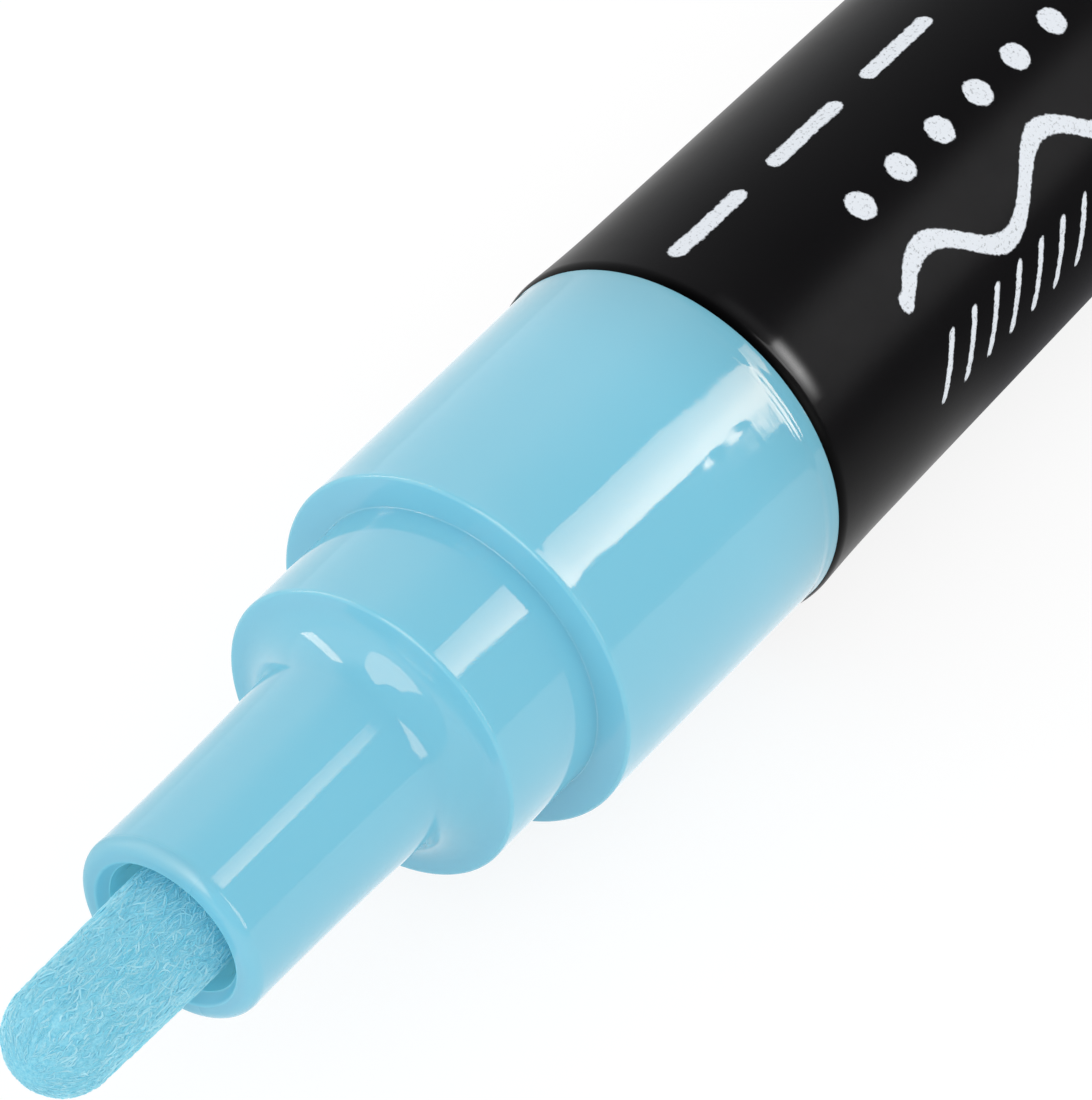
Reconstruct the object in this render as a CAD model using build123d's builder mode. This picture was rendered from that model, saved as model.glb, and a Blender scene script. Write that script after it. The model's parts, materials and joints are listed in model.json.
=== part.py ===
from build123d import *

import os
from math import cos, dist, pi, radians, sin, sqrt, tan

# Liquid chalk marker with an ink valve, lying on its side, in millimetres.
# The axis is X, the nib points to -X, and the origin is at the middle of the barrel.
# Every outline is a half-section: stations along the axis, and radii from it.

# Mould draft of the coloured plastic pieces, in degrees
draft_angle = 0.95

# Barrel: a moulded tube, its front swollen by the front section pressed into it and rolled to a bead
barrel_length = 88.0
barrel_radius = 8.0
barrel_wall = 1.1
lip_flare = 0.07
lip_length = 5.0
lip_bead_length = 1.7
lip_bead_height = 0.11
lip_edge_flare = 0.02
barrel_rear_rounding = 0.3

# Front section: grip, neck and nozzle in one moulding, with a spigot inside the barrel
grip_setback = 0.02
grip_length = 13.75
shoulder_step = 1.35
shoulder_rounding = 0.35
neck_length = 5.2
neck_rounding = 0.35
neck_root_rounding = 0.25
neck_wall = 1.4
nozzle_length = 11.7
nozzle_draft_angle = 1.15
nozzle_cove = 1.3
nozzle_front_wall = 1.3
mouth_wall = 0.81
mouth_rounding = 0.52
mouth_inner_rounding = 0.12
mouth_depth = 0.6
mouth_ledge = 0.3
guide_rib_count = 6
guide_rib_height = 0.5
guide_rib_width = 0.7
guide_rib_setback = 0.9
spigot_length = 9.0
spigot_wall = 1.05
spigot_clearance = 0.05
spigot_rounding = 0.4
valve_stop_wall = 1.5

# Nib: a rod of bonded fibre with a bullet end, held by the ribs of the nozzle
nib_radius = 2.215
nib_length = 30.0
nib_reach = 7.62
nib_taper_angle = 1.25
nib_clearance = 0.06
nib_rear_chamfer = 0.4
nib_travel = 2.5

# Ink valve: seat cup, plunger, spring and retainer
valve_clearance = 0.05
seat_room = 1.4
seat_wall = 2.0
seat_chamfer = 0.8
seat_flange_step = 0.25
seat_flange_thickness = 1.2
cup_wall = 1.25
pin_radius = 1.15
pin_flow_gap = 0.6
pin_rounding = 0.3
plunger_play = 0.1
plunger_seat_gap = 0.08
head_flow_gap = 1.5
head_thickness = 1.0
stem_radius = 1.3
stem_rounding = 0.3
spring_wire_radius = 0.25
spring_stem_gap = 0.3
spring_end_gap = 0.05
spring_turns = 6
retainer_thickness = 1.2
retainer_ledge = 0.4
retainer_guide_gap = 0.1
retainer_hole_web = 0.4
retainer_hole_count = 6

# Mixing ball, loose in the ink
ball_radius = 3.0
ball_clearance = 0.05

# Tail plug: closes the barrel, with a post the size of the neck
plug_length = 8.0
plug_flange_thickness = 1.6
plug_flange_rounding = 0.35
plug_end_wall = 1.4

# Cap: an outer shell with an inner cup that seals round the nozzle
cap_length = 30.0
cap_overhang = 0.17
cap_draft_angle = 0.5
cap_clearance = 0.06
cap_neck_gap = 0.5
cap_mouth_rounding = 0.3
cap_end_rounding = 1.4
cap_end_wall = 1.6
liner_ledge = 0.5
liner_clearance = 0.05
liner_wall = 0.9
liner_end_wall = 1.0
liner_lip_length = 1.6
liner_lip_rounding = 0.6
liner_seal_clearance = 0.06

# How much of a step two roundings on it may fill together
rounding_share = 0.95


def drafted(radius, length, angle=draft_angle):
    """Radius of a moulded wall after it narrows by its draft over a length."""
    return radius - length * tan(radians(angle))


def fitted_roundings(first, second, step):
    """Two roundings on one step, drawn in alike where they no longer fit on it."""
    fit_share = min(1, rounding_share * step / (first + second))
    return first * fit_share, second * fit_share


def half_section(corners):
    """Closed half-section from corners of (station, radius, rounding)."""
    with BuildSketch(Plane.XZ) as section:
        with BuildLine():
            FilletPolyline(
                *[(station, radius) for station, radius, _ in corners],
                radius=[rounding for _, _, rounding in corners],
                close=True,
            )
        make_face()
    return section.sketch


# Stations of the outer pieces
barrel_front = -barrel_length / 2
barrel_rear = barrel_length / 2
neck_rear = barrel_front - grip_length
nozzle_rear = neck_rear - neck_length
mouth = nozzle_rear - nozzle_length
nib_tip = mouth - nib_reach
nib_rear = nib_tip + nib_length
cap_mouth = barrel_rear + plug_flange_thickness
cap_end = cap_mouth + cap_length

# Radii from the barrel inwards
barrel_bore = barrel_radius - barrel_wall
spigot_radius = barrel_bore - spigot_clearance
valve_bore = spigot_radius - spigot_wall
grip_radius = barrel_radius - grip_setback
grip_front_radius = drafted(grip_radius, grip_length)
neck_radius = grip_front_radius - shoulder_step
neck_front_radius = drafted(neck_radius, neck_length)
neck_bore = neck_front_radius - neck_wall

# Radii from the nib outwards
rib_radius = nib_radius + nib_clearance
guide_bore = rib_radius + guide_rib_height
mouth_bore = guide_bore + mouth_ledge
mouth_radius = mouth_bore + mouth_wall
nozzle_radius = drafted(mouth_radius, -nozzle_length, nozzle_draft_angle)

# Barrel
with BuildPart() as barrel:
    with BuildSketch(Plane.XZ) as barrel_section:
        with BuildLine():
            lip_end = (barrel_front + lip_length, barrel_radius)
            bead_rear = (barrel_front + lip_bead_length, barrel_radius + lip_flare)
            bead_front = (barrel_front, barrel_radius + lip_edge_flare)
            bead_middle_radius = barrel_radius + (lip_flare + lip_edge_flare) / 2
            bead_crest = (barrel_front + lip_bead_length / 2, bead_middle_radius + lip_bead_height)
            flare = TangentArc(lip_end, bead_rear, tangent=(-1, 0))
            ThreePointArc(flare @ 1, bead_crest, bead_front)
            Polyline(
                bead_front,
                (barrel_front, barrel_bore),
                (barrel_rear, barrel_bore),
                (barrel_rear, barrel_radius),
                lip_end,
            )
        make_face()
        rear_corner = barrel_section.vertices().group_by(Axis.X)[-1].sort_by(Axis.Y)[-1]
        fillet(rear_corner, radius=barrel_rear_rounding)
    revolve(axis=Axis.X)
barrel.part.label = "barrel"

# Front section: the steps outside, the nib's guide and the valve's bore inside
spigot_rear = barrel_front + spigot_length
mouth_step = mouth + mouth_depth
chamber_front = nozzle_rear + nozzle_front_wall
valve_stop = neck_rear + valve_stop_wall
nozzle_step = neck_front_radius - nozzle_radius
shoulder_round, neck_root_round = fitted_roundings(shoulder_rounding, neck_root_rounding, shoulder_step)
neck_round, cove_round = fitted_roundings(neck_rounding, nozzle_cove, nozzle_step)
mouth_round, mouth_inner_round = fitted_roundings(mouth_rounding, mouth_inner_rounding, mouth_wall)
rib_front = mouth_step + guide_rib_setback
rib_depth = guide_bore + mouth_ledge - rib_radius
with BuildPart() as front_section:
    revolve(
        half_section(
            [
                (spigot_rear, valve_bore, 0),
                (spigot_rear, spigot_radius, spigot_rounding),
                (barrel_front, spigot_radius, 0),
                (barrel_front, grip_radius, 0),
                (neck_rear, grip_front_radius, shoulder_round),
                (neck_rear, neck_radius, neck_root_round),
                (nozzle_rear, neck_front_radius, neck_round),
                (nozzle_rear, nozzle_radius, cove_round),
                (mouth, mouth_radius, mouth_round),
                (mouth, mouth_bore, mouth_inner_round),
                (mouth_step, mouth_bore, 0),
                (mouth_step, guide_bore, 0),
                (chamber_front, guide_bore, 0),
                (chamber_front, neck_bore, 0),
                (valve_stop, neck_bore, 0),
                (valve_stop, valve_bore, 0),
            ]
        ),
        axis=Axis.X,
    )
    # Six ribs hold the nib and leave ink channels between them
    with BuildSketch(Plane.YZ.offset(rib_front)):
        with PolarLocations(rib_radius, guide_rib_count):
            Rectangle(rib_depth, guide_rib_width, align=(Align.MIN, Align.CENTER))
    extrude(amount=chamber_front - rib_front)
front_section.part.label = "front_section"

# Nib: a ball end that runs tangent into a slight taper, then a plain rod
taper = radians(nib_taper_angle)
tip_radius = (nib_radius * cos(taper) - nib_reach * sin(taper)) / (1 - sin(taper))
with BuildPart() as nib:
    with BuildSketch(Plane.XZ):
        with BuildLine():
            bullet = TangentArc(
                (nib_tip, 0),
                (nib_tip + tip_radius * (1 - sin(taper)), tip_radius * cos(taper)),
                tangent=(0, 1),
            )
            Polyline(
                bullet @ 1,
                (mouth, nib_radius),
                (nib_rear - nib_rear_chamfer, nib_radius),
                (nib_rear, nib_radius - nib_rear_chamfer),
                (nib_rear, 0),
                bullet @ 0,
            )
        make_face()
    revolve(axis=Axis.X)
nib.part.label = "nib"

# Valve seat: a cup in the front section's bore, its flange behind the spigot
seat_front = nib_rear + nib_travel + seat_room
seat_rear = seat_front + seat_wall
flange_rear = spigot_rear + seat_flange_thickness
seat_radius = valve_bore - valve_clearance
seat_hole = pin_radius + pin_flow_gap
cup_bore = seat_radius - cup_wall
retainer_bore = cup_bore + retainer_ledge
retainer_front = flange_rear - retainer_thickness
with BuildPart() as valve_seat:
    revolve(
        half_section(
            [
                (seat_front, seat_hole, 0),
                (seat_front, seat_radius, cup_wall / 2),
                (spigot_rear, seat_radius, 0),
                (spigot_rear, spigot_radius - seat_flange_step, 0),
                (flange_rear, spigot_radius - seat_flange_step, 0),
                (flange_rear, retainer_bore, 0),
                (retainer_front, retainer_bore, 0),
                (retainer_front, cup_bore, 0),
                (seat_rear, cup_bore, 0),
                (seat_rear, seat_hole + seat_chamfer, 0),
                (seat_rear - seat_chamfer, seat_hole, 0),
            ]
        ),
        axis=Axis.X,
    )
valve_seat.part.label = "valve_seat"

# Valve plunger: a pin towards the nib, a cone on the seat, and a stem inside the spring
head_radius = cup_bore - head_flow_gap
cone_front = seat_rear - seat_chamfer - (seat_hole - pin_radius) + plunger_seat_gap
cone_rear = cone_front + head_radius - pin_radius
head_rear = cone_rear + head_thickness
stem_rear = retainer_front + retainer_thickness
with BuildPart() as valve_plunger:
    revolve(
        half_section(
            [
                (nib_rear + plunger_play, 0, 0),
                (nib_rear + plunger_play, pin_radius, pin_rounding),
                (cone_front, pin_radius, 0),
                (cone_rear, head_radius, 0),
                (head_rear, head_radius, 0),
                (head_rear, stem_radius, 0),
                (stem_rear, stem_radius, stem_rounding),
                (stem_rear, 0, 0),
            ]
        ),
        axis=Axis.X,
    )
valve_plunger.part.label = "valve_plunger"

# Spring retainer: a disc that closes the cup, with a guide for the stem and holes for the ink
retainer_radius = retainer_bore - valve_clearance
retainer_guide = stem_radius + retainer_guide_gap
spring_radius = stem_radius + spring_stem_gap + spring_wire_radius
spring_outer_radius = spring_radius + spring_wire_radius
retainer_hole_ring = (cup_bore + spring_outer_radius) / 2
retainer_hole_radius = (cup_bore - spring_outer_radius) / 2 - retainer_hole_web
with BuildPart() as spring_retainer:
    with BuildSketch(Plane.YZ.offset(retainer_front)):
        Circle(retainer_radius)
        Circle(retainer_guide, mode=Mode.SUBTRACT)
        with PolarLocations(retainer_hole_ring, retainer_hole_count):
            Circle(retainer_hole_radius, mode=Mode.SUBTRACT)
    extrude(amount=retainer_thickness)
spring_retainer.part.label = "spring_retainer"

# Valve spring: one wire wound between the plunger's head and the retainer.
# Each half turn is a pair of arcs that meet on the line through its middle, square to it.
spring_front = head_rear + spring_wire_radius + spring_end_gap
spring_rear = retainer_front - spring_wire_radius - spring_end_gap
spring_pitch = (spring_rear - spring_front) / spring_turns
spring_rise = spring_pitch / (2 * pi)


def coil_point(angle, radius=spring_radius):
    """Point of the winding after an angle in radians."""
    return (spring_front + spring_rise * angle, radius * cos(angle), radius * sin(angle))


def coil_direction(angle):
    """Direction of the wire after an angle in radians."""
    return (spring_rise, -spring_radius * sin(angle), spring_radius * cos(angle))


half_span = pi / 2
span_rise = spring_rise * half_span
square_term = spring_radius * sin(half_span)
linear_term = 2 * spring_rise * span_rise
constant_term = square_term * (span_rise**2 + spring_radius**2)
constant_term += linear_term * spring_radius * cos(half_span)
root_term = sqrt(linear_term**2 + 4 * square_term * constant_term)
meeting_radius = (root_term - linear_term) / (2 * square_term)
with BuildPart() as valve_spring:
    with BuildLine() as winding:
        for half_turn in range(2 * spring_turns):
            start = half_turn * pi
            meeting = coil_point(start + half_span, meeting_radius)
            first_arc = TangentArc(coil_point(start), meeting, tangent=coil_direction(start))
            TangentArc(meeting, coil_point(start + pi), tangent=first_arc % 1)
    with BuildSketch(Plane(origin=coil_point(0), z_dir=coil_direction(0))):
        Circle(spring_wire_radius)
    sweep(path=winding.line)
valve_spring.part.label = "valve_spring"

# The least gap between the wire and the turns beside it, measured on points along the winding
samples_per_turn = 60
sample_count = samples_per_turn * spring_turns
wire_points = [tuple(winding.line @ (i / sample_count)) for i in range(sample_count + 1)]
turn_distance = min(
    dist(here, there)
    for i, here in enumerate(wire_points)
    for there in wire_points[i + samples_per_turn // 2:]
)
print(f"least gap of the spring to itself: {turn_distance - 2 * spring_wire_radius:.3f} mm")

# Mixing ball: lies on the bottom of the barrel's bore
ball_height = ball_radius + ball_clearance - barrel_bore
with BuildPart() as mixing_ball:
    with Locations((0, 0, ball_height)):
        Sphere(ball_radius)
mixing_ball.part.label = "mixing_ball"

# Tail plug: a hollow spigot, a flange behind the barrel, and the post for the cap
plug_front = barrel_rear - plug_length
post_rear = cap_mouth + neck_length
flange_round, _ = fitted_roundings(plug_flange_rounding, plug_flange_rounding, plug_flange_thickness)
with BuildPart() as tail_plug:
    revolve(
        half_section(
            [
                (plug_front, valve_bore, 0),
                (plug_front, spigot_radius, spigot_rounding),
                (barrel_rear, spigot_radius, 0),
                (barrel_rear, barrel_radius, flange_round),
                (cap_mouth, barrel_radius, flange_round),
                (cap_mouth, neck_radius, neck_root_rounding),
                (post_rear, neck_front_radius, neck_rounding),
                (post_rear, 0, 0),
                (post_rear - plug_end_wall, 0, 0),
                (post_rear - plug_end_wall, neck_bore, 0),
                (cap_mouth, neck_bore, 0),
                (barrel_rear, valve_bore, 0),
            ]
        ),
        axis=Axis.X,
    )
tail_plug.part.label = "tail_plug"

# Cap shell: pushed on the post, its mouth against the plug's flange
cap_radius = barrel_radius + cap_overhang
cap_bore = neck_radius + cap_clearance
liner_bore = cap_bore - liner_ledge
liner_front = cap_mouth + neck_length + cap_neck_gap
liner_rear = cap_end - cap_end_wall
with BuildPart() as cap_shell:
    revolve(
        half_section(
            [
                (cap_mouth, cap_bore, cap_mouth_rounding),
                (cap_mouth, cap_radius, cap_mouth_rounding),
                (cap_end, drafted(cap_radius, cap_length, cap_draft_angle), cap_end_rounding),
                (cap_end, 0, 0),
                (liner_rear, 0, 0),
                (liner_rear, liner_bore, 0),
                (liner_front, liner_bore, 0),
                (liner_front, cap_bore, 0),
            ]
        ),
        axis=Axis.X,
    )
cap_shell.part.label = "cap_shell"

# Cap liner: a cup pressed into the shell, with a lip that closes on the nozzle's root
liner_radius = liner_bore - liner_clearance
liner_inner = liner_radius - liner_wall
lip_bore = nozzle_radius + liner_seal_clearance
liner_lip_round, _ = fitted_roundings(liner_lip_rounding, 0, liner_radius - lip_bore)
with BuildPart() as cap_liner:
    revolve(
        half_section(
            [
                (liner_front, lip_bore, liner_lip_round),
                (liner_front, liner_radius, 0),
                (liner_rear, liner_radius, 0),
                (liner_rear, 0, 0),
                (liner_rear - liner_end_wall, 0, 0),
                (liner_rear - liner_end_wall, liner_inner, liner_wall),
                (liner_front + liner_lip_length, liner_inner, 0),
                (liner_front + liner_lip_length, lip_bore, 0),
            ]
        ),
        axis=Axis.X,
    )
cap_liner.part.label = "cap_liner"

# One file for each piece
os.makedirs("parts", exist_ok=True)
pieces = [
    barrel,
    front_section,
    nib,
    valve_seat,
    valve_plunger,
    valve_spring,
    spring_retainer,
    mixing_ball,
    tail_plug,
    cap_shell,
    cap_liner,
]
for piece in pieces:
    export_step(piece.part, f"parts/{piece.part.label}.step")

# Travel of the loose ball, from the pressed plunger to the tail plug
ball_front_stop = stem_rear + nib_travel + ball_radius
ball_rear_stop = plug_front - ball_radius
print(f"ball travel between stops: {ball_front_stop:.2f} to {ball_rear_stop:.2f} mm")
print(f"length from nib to posted cap: {cap_end - nib_tip:.2f} mm")
print(f"length when capped: {post_rear - neck_rear + cap_length:.2f} mm")
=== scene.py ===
import json
from math import cos, pi, radians, sin, tan

import bpy
import numpy as np
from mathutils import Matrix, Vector


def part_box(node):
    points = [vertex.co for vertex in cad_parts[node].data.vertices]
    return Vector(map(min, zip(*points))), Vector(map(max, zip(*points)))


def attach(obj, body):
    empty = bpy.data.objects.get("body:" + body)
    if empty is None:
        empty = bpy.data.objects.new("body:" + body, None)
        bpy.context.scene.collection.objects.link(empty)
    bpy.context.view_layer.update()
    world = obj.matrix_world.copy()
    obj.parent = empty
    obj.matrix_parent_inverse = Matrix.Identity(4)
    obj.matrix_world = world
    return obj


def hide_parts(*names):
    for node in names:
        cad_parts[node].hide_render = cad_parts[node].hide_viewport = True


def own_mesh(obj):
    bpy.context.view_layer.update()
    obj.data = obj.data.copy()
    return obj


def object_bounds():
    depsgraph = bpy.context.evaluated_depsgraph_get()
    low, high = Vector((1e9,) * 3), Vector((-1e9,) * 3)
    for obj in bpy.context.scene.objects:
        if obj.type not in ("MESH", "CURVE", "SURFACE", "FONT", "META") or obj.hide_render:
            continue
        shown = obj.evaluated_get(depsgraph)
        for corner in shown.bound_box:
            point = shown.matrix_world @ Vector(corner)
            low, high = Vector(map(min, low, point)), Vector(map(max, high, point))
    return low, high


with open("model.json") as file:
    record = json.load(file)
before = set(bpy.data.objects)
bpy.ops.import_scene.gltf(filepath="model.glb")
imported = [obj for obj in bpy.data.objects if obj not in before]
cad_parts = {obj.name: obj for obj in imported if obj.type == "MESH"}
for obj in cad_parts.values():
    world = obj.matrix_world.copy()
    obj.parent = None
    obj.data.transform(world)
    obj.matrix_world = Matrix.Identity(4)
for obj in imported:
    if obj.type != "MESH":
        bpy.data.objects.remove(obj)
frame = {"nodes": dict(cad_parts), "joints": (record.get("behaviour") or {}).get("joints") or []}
cad_low, cad_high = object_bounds()

# Barrel
# A straight tube moulded in black polypropylene with a satin skin, printed in white chalk strokes.
# The front section is pressed into it and swells its front, which ends in a short cone with a rolled edge.
barrel_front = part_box("barrel")[0].x
barrel_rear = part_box("barrel")[1].x
barrel_radius = 0.008
barrel_bore = 0.0069
lip_length = 0.005
lip_flare = 0.00007
bead_length = 0.0015
bead_rise = 0.000070
bead_edge = 0.00002
bead_roll = 0.0005
bead_line = 0.0004
bead_line_half_width = 0.00005
bead_gloss = 0.0008
bead_shade_length = 0.0006
bead_gloss_half_width = 0.00030
lip_points = 28
barrel_rear_rounding = 0.0003
longest_step = 0.0009
arc_step = radians(6)
segments = 288
sharp_angle = radians(32)


def rounded_outline(corners, closed=True):
    """Half-section through corners of (station, radius, rounding).

    A rounding is an arc tangent to both sides of its corner. Straight stretches are cut into short
    steps, so that the shading stays even. An open outline starts and ends on the axis.
    """
    points = np.array([corner[:2] for corner in corners], float)
    stretches = []
    for i, (_, _, rounding) in enumerate(corners):
        here = points[i]
        back = points[i - 1] - here
        ahead = points[(i + 1) % len(points)] - here
        if rounding == 0:
            stretches.append(here[None])
            continue
        back /= np.linalg.norm(back)
        ahead /= np.linalg.norm(ahead)
        half_angle = np.arccos(np.clip(back @ ahead, -1, 1)) / 2
        centre = here + (back + ahead) / np.linalg.norm(back + ahead) * rounding / sin(half_angle)
        start = here + back * rounding / tan(half_angle) - centre
        end = here + ahead * rounding / tan(half_angle) - centre
        turn = pi - 2 * half_angle
        share = np.linspace(0, 1, int(np.ceil(turn / arc_step)) + 1)[:, None]
        swing = start * np.sin((1 - share) * turn) + end * np.sin(share * turn)
        stretches.append(centre + swing / sin(turn))
    line = []
    for i, stretch in enumerate(stretches):
        line.append(stretch)
        if i + 1 == len(stretches) and not closed:
            continue
        start = stretch[-1]
        end = stretches[(i + 1) % len(stretches)][0]
        steps = int(np.ceil(np.linalg.norm(end - start) / longest_step))
        line.append(start + (end - start) * np.linspace(0, 1, steps, endpoint=False)[1:, None])
    return np.concatenate(line)


def mesh_object(name, points, faces, material):
    """Object at the origin from an array of points and arrays of faces, shaded smooth up to sharp corners."""
    mesh = bpy.data.meshes.new(name)
    mesh.vertices.add(len(points))
    mesh.vertices.foreach_set("co", np.ascontiguousarray(points, np.float32).ravel())
    sizes = np.concatenate([np.full(len(group), group.shape[1]) for group in faces])
    mesh.loops.add(int(sizes.sum()))
    corners = np.concatenate([group.ravel() for group in faces])
    mesh.loops.foreach_set("vertex_index", corners.astype(np.int32))
    mesh.polygons.add(len(sizes))
    mesh.polygons.foreach_set("loop_start", np.concatenate([[0], np.cumsum(sizes)[:-1]]).astype(np.int32))
    mesh.update(calc_edges=True)
    mesh.validate()
    mesh.shade_smooth()
    mesh.set_sharp_from_angle(angle=sharp_angle)
    mesh.materials.append(material)
    piece = bpy.data.objects.new(name, mesh)
    bpy.context.scene.collection.objects.link(piece)
    return piece


def turned(name, outline, material, closed=True, carve=None):
    """Surface of revolution: point (x, r) of the outline at angle a goes to (x, r cos a, r sin a).

    A closed outline gives a ring-shaped skin. An open one starts and ends on the axis, where its end
    points become poles. carve changes the radii, given stations, radii and angles as grids.
    """
    around = outline if closed else outline[1:-1]
    angle = np.arange(segments) * 2 * pi / segments
    station, angle = np.meshgrid(around[:, 0], angle, indexing="ij")
    radius = np.repeat(around[:, 1:], segments, axis=1)
    if carve:
        radius = carve(station, radius, angle)
    points = np.stack([station, radius * np.cos(angle), radius * np.sin(angle)], -1).reshape(-1, 3)
    rows = len(around)
    index = np.arange(rows * segments).reshape(rows, segments)
    index = np.concatenate([index, index[:, :1]], axis=1)
    if closed:
        index = np.concatenate([index, index[:1]])
    quads = np.stack([index[:-1, :-1], index[1:, :-1], index[1:, 1:], index[:-1, 1:]], -1).reshape(-1, 4)
    faces = [quads]
    if not closed:
        poles = np.array([[outline[0, 0], 0, 0], [outline[-1, 0], 0, 0]])
        first = np.full(segments, len(points))
        points = np.concatenate([points, poles])
        faces.append(np.stack([first, index[0, :-1], index[0, 1:]], -1))
        faces.append(np.stack([first + 1, index[-1, 1:], index[-1, :-1]], -1))
    following = np.roll(outline, -1, axis=0)
    area = np.sum(outline[:, 0] * following[:, 1] - following[:, 0] * outline[:, 1])
    if area < 0:
        faces = [group[:, ::-1] for group in faces]
    return mesh_object(name, points, faces, material)


class Shade:
    """One output in a shader tree. Sums, differences, products and quotients add Math nodes."""

    def __init__(self, tree, socket=None):
        self.tree = tree
        self.socket = socket

    def add(self, kind, settings=None, inputs=None, output=0):
        """A node of any kind, with its settings made first, then the values or links of its sockets."""
        node = self.tree.nodes.new(kind)
        for name, value in (settings or {}).items():
            setattr(node, name, value)
        for key, value in (inputs or {}).items():
            if isinstance(value, Shade):
                self.tree.links.new(value.socket, node.inputs[key])
            else:
                node.inputs[key].default_value = value
        return Shade(self.tree, node.outputs[output] if node.outputs else None)

    def math(self, operation, first, second=0.0, clamp=False):
        settings = {"operation": operation, "use_clamp": clamp}
        return self.add("ShaderNodeMath", settings, {0: first, 1: second})

    def __add__(self, other):
        return self.math("ADD", self, other)

    def __sub__(self, other):
        return self.math("SUBTRACT", self, other)

    def __rsub__(self, other):
        return self.math("SUBTRACT", other, self)

    def __mul__(self, other):
        return self.math("MULTIPLY", self, other)

    def __truediv__(self, other):
        return self.math("DIVIDE", self, other)

    def __abs__(self):
        return self.math("ABSOLUTE", self)

    __radd__ = __add__
    __rmul__ = __mul__

    def clamped(self):
        """This value held between 0 and 1."""
        return self.math("ADD", self, 0.0, clamp=True)

    def ramp(self, start, end):
        """0 where this value is at start, 1 where it is at end, and even between them."""
        return self.math("DIVIDE", self - start, end - start, clamp=True)

    def larger(self, other):
        return self.math("MAXIMUM", self, other)

    def smaller(self, other):
        return self.math("MINIMUM", self, other)

    def blend(self, low, high):
        """The colour low where this value is 0, and high where it is 1."""
        return self.add("ShaderNodeMix", {"data_type": "RGBA"}, {0: self, 6: low, 7: high}, output=2)

    def parts(self):
        """The three parts of this vector."""
        split = self.tree.nodes.new("ShaderNodeSeparateXYZ")
        self.tree.links.new(self.socket, split.inputs[0])
        return [Shade(self.tree, socket) for socket in split.outputs]

    def noise(self, grain, detail=2.0, roughness=0.5):
        """Noise over this vector, whose lumps are about grain metres wide."""
        inputs = {"Vector": self, "Scale": 1 / grain, "Detail": detail, "Roughness": roughness}
        return self.add("ShaderNodeTexNoise", None, inputs)

    def stretched(self, factors):
        """This vector with each part times its factor."""
        return self.add("ShaderNodeVectorMath", {"operation": "MULTIPLY"}, {0: self, 1: factors})

    def bump(self, height, strength=1.0):
        """A normal that rises by this value times height, in metres."""
        return self.add("ShaderNodeBump", None, {"Strength": strength, "Distance": height, "Height": self})


def surface_material(name):
    """A new material with an empty tree, its place on the piece, and a function that closes it."""
    material = bpy.data.materials.new(name)
    material.use_nodes = True
    tree = material.node_tree
    tree.nodes.clear()
    place = Shade(tree).add("ShaderNodeTexCoord", None, None, output="Object")

    def close(**sockets):
        named = {key.replace("_", " ").title().replace("Ior", "IOR"): value for key, value in sockets.items()}
        shader = place.add("ShaderNodeBsdfPrincipled", None, named)
        place.add("ShaderNodeOutputMaterial", None, {"Surface": shader})
        return material

    return place, close


chalk_white = (0.78, 0.82, 0.87, 1)
satin_black = (0.0030, 0.0028, 0.0033, 1)
worn_black = (0.0042, 0.0039, 0.0045, 1)
lip_painted_shade = (0, 0, 0, 1)
skin_cloud = 0.006
skin_patch = 0.0016
skin_grain = 0.00012
skin_relief = 0.0000016
satin_roughness = 0.27
patch_roughness = 0.06
ink_roughness = 0.25
ink_rise = 1.5
rubbed_start = (0.2, 0.6)
rubbed_end = (0.8, 0.6824)
bead_line_coat = 0.15
bead_gloss_coat = 0.5
print_front_setback = 0.0075
print_rear_setback = 0.006
print_front = barrel_front + print_front_setback
print_rear = barrel_rear - print_rear_setback
stroke_edge = 0.00007
chalk_grain = 0.00028
speckle_contrast = 6
speckle_level = 1.6
thin_ink = 0.35
ragged_edge = 0.00016
wave_place = radians(40)
wave_height = 0.0012
wave_length = 0.0088
wave_half_width = 0.00046
dot_place = radians(68)
dot_pitch = 0.0029
dot_radius = 0.00066
hatch_place = radians(15)
hatch_pitch = 0.0017
hatch_slant = 0.55
hatch_half_length = 0.0011
hatch_half_width = 0.00019
dash_place = radians(96)
dash_pitch = 0.0068
dash_half_length = 0.0021
dash_half_width = 0.00036


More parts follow.
